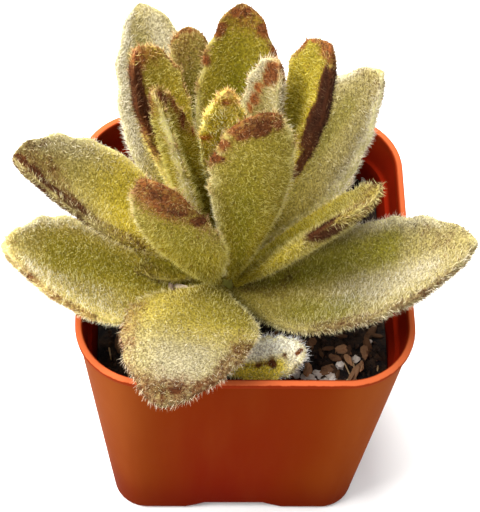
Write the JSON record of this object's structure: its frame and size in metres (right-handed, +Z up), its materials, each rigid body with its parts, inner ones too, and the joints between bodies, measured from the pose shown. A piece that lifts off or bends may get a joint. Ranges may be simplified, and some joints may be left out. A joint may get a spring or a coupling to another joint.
{
  "type": "potted succulent",
  "caption": "Small felted succulent with thick spoon-shaped leaves and brown scalloped tips, in a square tapered plastic nursery pot of dark soil.",
  "frame": {"origin": "centre of the pot's flat foot, on the surface that the pot stands on", "axes": "+Z up along the pot's axis; -Y out of the side with the drooping front leaf; +X to that side's right"},
  "size_m": [0.0853, 0.08, 0.1153],
  "materials": {
    "pot_plastic": "satin",
    "potting_mix": "matte",
    "stem_green": "matte",
    "felt_outer": "matte",
    "felt_middle": "matte",
    "felt_inner": "matte",
    "felt_cream": "matte",
    "felt_dark": "matte"
  },
  "bodies": {
    "root": {"pot": "pot_plastic", "soil": "potting_mix", "stem": "stem_green", "leaf_01": "felt_outer", "leaf_02": "felt_middle", "leaf_03": "felt_outer", "leaf_04": "felt_dark", "leaf_05": "felt_middle", "leaf_06": "felt_inner", "leaf_07": "felt_inner", "leaf_08": "felt_inner", "leaf_09": "felt_inner", "leaf_10": "felt_inner", "leaf_11": "felt_inner", "leaf_12": "felt_outer", "leaf_13": "felt_inner", "leaf_14": "felt_middle", "leaf_15": "felt_outer", "leaf_16": "felt_cream", "leaf_17": "felt_outer", "leaf_18": "felt_outer", "leaf_19": "felt_outer", "leaf_20": "felt_outer"}
  },
  "joints": []
}
